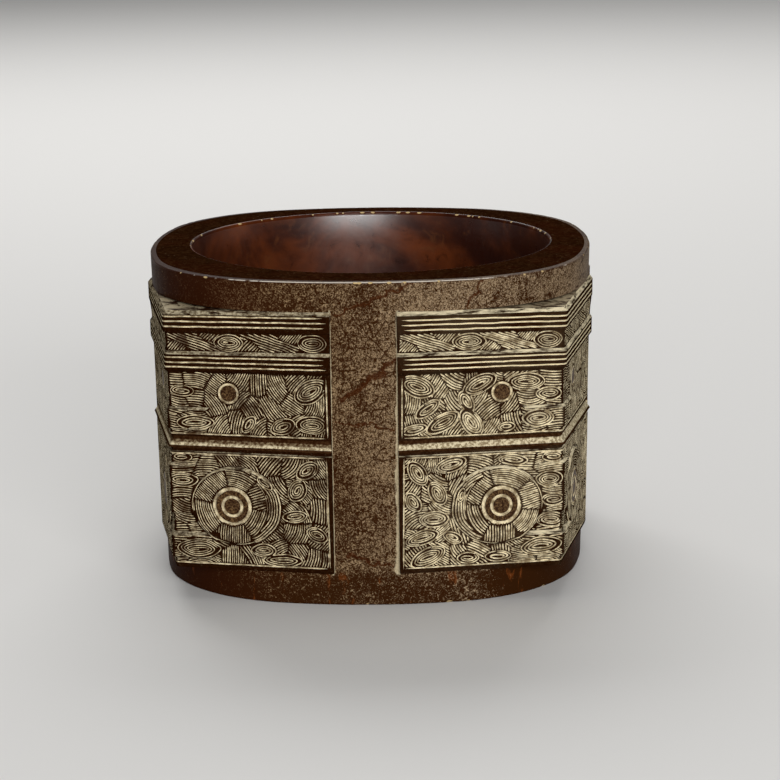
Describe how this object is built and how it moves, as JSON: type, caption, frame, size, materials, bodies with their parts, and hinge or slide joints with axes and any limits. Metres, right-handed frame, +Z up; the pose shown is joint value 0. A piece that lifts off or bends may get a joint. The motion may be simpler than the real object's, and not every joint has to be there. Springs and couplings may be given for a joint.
{
  "type": "jade cong tube",
  "caption": "Squat square jade tube with a round bore, flush collars, plain channels and carved corner prisms whose cut lines and eye rings hold pale residue.",
  "frame": {"origin": "middle of the base, on the surface that the tube stands on", "axes": "+Z up along the bore, -Y to the pictured front, +X to its right"},
  "size_m": [0.0758, 0.0758, 0.054],
  "materials": {
    "jade": "mottled red-brown jade with a soft polish",
    "residue": "matt pale buff earth packed in the cut lines"
  },
  "bodies": {
    "root": {"cong_stone": "jade", "upper_band_fill_front_left": "residue", "upper_band_fill_front_right": "residue", "upper_band_fill_back_right": "residue", "upper_band_fill_back_left": "residue", "lower_band_fill_front_left": "residue", "lower_band_fill_front_right": "residue", "lower_band_fill_back_right": "residue", "lower_band_fill_back_left": "residue", "upper_frame_fill_front_left": "residue", "upper_frame_fill_front_right": "residue", "upper_frame_fill_back_right": "residue", "upper_frame_fill_back_left": "residue", "lower_frame_fill_front_left": "residue", "lower_frame_fill_front_right": "residue", "lower_frame_fill_back_right": "residue", "lower_frame_fill_back_left": "residue", "small_eye_fill_front_left": "residue", "small_eye_fill_front_right": "residue", "small_eye_fill_back_right": "residue", "small_eye_fill_back_left": "residue", "large_eye_fill_front_left": "residue", "large_eye_fill_front_right": "residue", "large_eye_fill_back_right": "residue", "large_eye_fill_back_left": "residue"}
  },
  "joints": []
}
